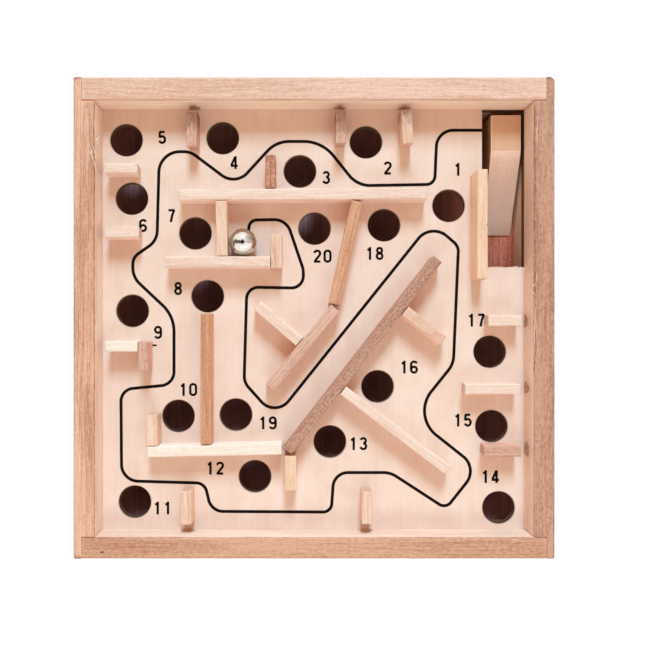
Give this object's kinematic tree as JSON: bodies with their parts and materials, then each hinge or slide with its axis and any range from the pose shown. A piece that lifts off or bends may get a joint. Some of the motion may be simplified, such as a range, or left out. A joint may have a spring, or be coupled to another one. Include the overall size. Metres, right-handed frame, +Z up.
{
  "type": "tilt maze game",
  "caption": "Hand-held wooden tilt maze: square lapped-rail box, drilled playing board with glued wall strips, lower return deck, ramp and steel ball.",
  "frame": {"origin": "centre of the box's underside, on the surface it rests on", "axes": "+X to the player's right, +Y away from the player (the return opening is at the back right corner), +Z up out of the playing surface"},
  "size_m": [0.136, 0.136, 0.0254],
  "materials": {
    "rail_left_wood": "bare sanded hardwood, open pores along the rail",
    "rail_right_wood": "bare sanded hardwood, open pores along the rail",
    "rail_front_wood": "bare sanded hardwood, open pores along the rail",
    "rail_back_wood": "bare sanded hardwood, paler than the other rails",
    "board_wood": "pale plywood, grain front to back, matt",
    "panel_wood": "reddish plywood, coarse pores, matt",
    "ramp_wood": "sawn wood, slanting saw marks",
    "strip_pale_wood": "pale bare wood strip",
    "strip_brown_wood": "browner bare wood strip",
    "print_black": "screen-printed black ink on the board",
    "ball_steel": "polished bearing steel"
  },
  "bodies": {
    "box": {"left_rail": "rail_left_wood", "right_rail": "rail_right_wood", "front_rail": "rail_front_wood", "back_rail": "rail_back_wood", "playing_board": "board_wood", "bottom_panel": "panel_wood", "return_ramp": "ramp_wood", "wall_start_left": "strip_brown_wood", "wall_start_middle": "strip_brown_wood", "wall_start_right": "strip_pale_wood", "wall_hole_3": "strip_brown_wood", "wall_long_back": "strip_pale_wood", "wall_left_back": "strip_pale_wood", "wall_left_middle": "strip_pale_wood", "wall_left_front": "strip_pale_wood", "wall_left_post": "strip_brown_wood", "wall_finish_left": "strip_pale_wood", "wall_finish_front": "strip_pale_wood", "wall_finish_right": "strip_pale_wood", "wall_slant_back": "strip_brown_wood", "wall_slant_front": "strip_brown_wood", "wall_slant_branch": "strip_pale_wood", "wall_diagonal": "strip_brown_wood", "wall_diagonal_stub": "strip_pale_wood", "wall_diagonal_branch": "strip_pale_wood", "wall_left_upright": "strip_brown_wood", "wall_front_long": "strip_pale_wood", "wall_front_stub": "strip_pale_wood", "wall_front_post": "strip_pale_wood", "wall_edge_left": "strip_pale_wood", "wall_edge_right": "strip_pale_wood", "wall_right_back": "strip_pale_wood", "wall_right_middle": "strip_pale_wood", "wall_right_front": "strip_brown_wood", "wall_return_guard": "strip_pale_wood"},
    "ball": {"steel_ball": "ball_steel"}
  },
  "joints": [
    {"name": "ball_roll", "type": "slide", "parent": "box", "child": "ball", "axis": [0, 1, 0], "range_m": [0, 0.0075]}
  ]
}
